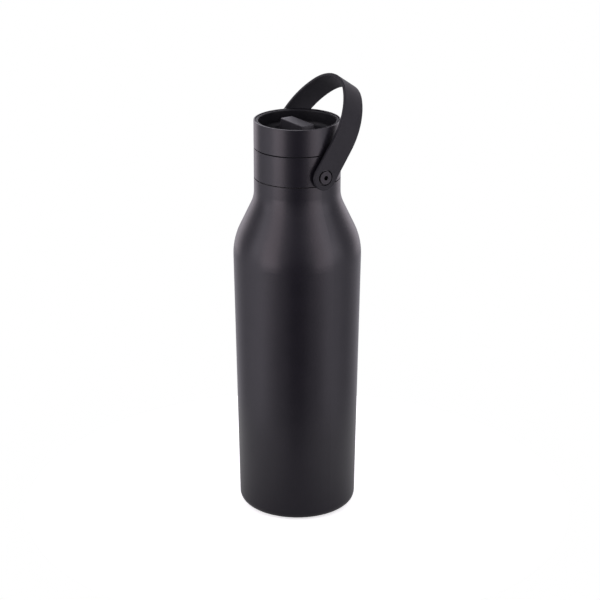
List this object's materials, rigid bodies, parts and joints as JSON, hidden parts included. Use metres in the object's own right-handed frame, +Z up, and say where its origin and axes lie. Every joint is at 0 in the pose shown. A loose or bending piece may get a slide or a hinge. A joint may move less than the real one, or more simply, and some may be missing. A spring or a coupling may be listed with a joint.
{
  "type": "insulated water bottle",
  "caption": "Slim double-wall drinking bottle with a sloping shoulder, a screw collar, a screw cap with a pinch grip, and a flat carry strap that swings over the cap.",
  "frame": {"origin": "centre of the foot's underside, on the bottle's axis", "axes": "+Z up along the bottle's axis, X along the strap's pivot axis, the strap at rest leans towards +Y"},
  "size_m": [0.0726, 0.0732, 0.2538],
  "materials": {
    "black_powder_coat": "fine matte powder coat",
    "bare_steel": "brushed stainless",
    "black_steel": "black oxide, satin",
    "brass": "machined",
    "sintered_alloy": "sintered, matte",
    "black_silicone": "matte",
    "seal_silicone": "soft, dark grey",
    "black_plastic": "moulded, fine satin",
    "strap_rubber": "smooth matte",
    "rigid_foam": "closed-cell foam"
  },
  "bodies": {
    "bottle": {"outer_shell": "black_powder_coat", "inner_flask": "bare_steel", "base_plate": "bare_steel", "vacuum_plug": "brass", "getter_cage": "bare_steel", "getter_pellet": "sintered_alloy", "base_cover": "bare_steel", "foot_pad": "black_silicone"},
    "lid_seal": {"lid_gasket": "seal_silicone"},
    "collar": {"collar_sleeve": "black_powder_coat", "collar_core": "black_plastic", "thread_skirt": "black_plastic", "threaded_inserts": "brass", "strap_bushings": "bare_steel", "strap_washers": "bare_steel", "strap_screws": "black_steel"},
    "strap_loop": {"strap": "strap_rubber", "strap_eyelets": "strap_rubber"},
    "cap_seal": {"cap_gasket": "seal_silicone"},
    "cap": {"cap_sleeve": "black_powder_coat", "cap_bowl": "black_plastic", "grip_bar": "black_plastic", "grip_screws": "bare_steel", "cap_plug": "black_plastic", "plug_cover": "black_plastic", "cap_foam": "rigid_foam"}
  },
  "joints": [
    {"name": "lid_lift", "type": "slide", "parent": "bottle", "child": "lid_seal", "axis": [0, 0, 1], "range_m": [0, 0.02]},
    {"name": "lid_turn", "type": "hinge", "parent": "lid_seal", "child": "collar", "pos_m": [0, 0, 0.1984], "axis": [0, 0, 1], "range_deg": [0, 900]},
    {"name": "strap_swing", "type": "hinge", "parent": "collar", "child": "strap_loop", "pos_m": [0, 0, 0.2042], "axis": [1, 0, 0], "range_deg": [-95, 164]},
    {"name": "cap_lift", "type": "slide", "parent": "collar", "child": "cap_seal", "axis": [0, 0, 1], "range_m": [0, 0.015]},
    {"name": "cap_turn", "type": "hinge", "parent": "cap_seal", "child": "cap", "pos_m": [0, 0, 0.2195], "axis": [0, 0, 1], "range_deg": [0, 900]}
  ],
  "couplings": [
    {"joint": "lid_lift", "follows": "lid_turn", "m_per_rad": 0.0012732},
    {"joint": "cap_lift", "follows": "cap_turn", "m_per_rad": 0.00095492}
  ]
}
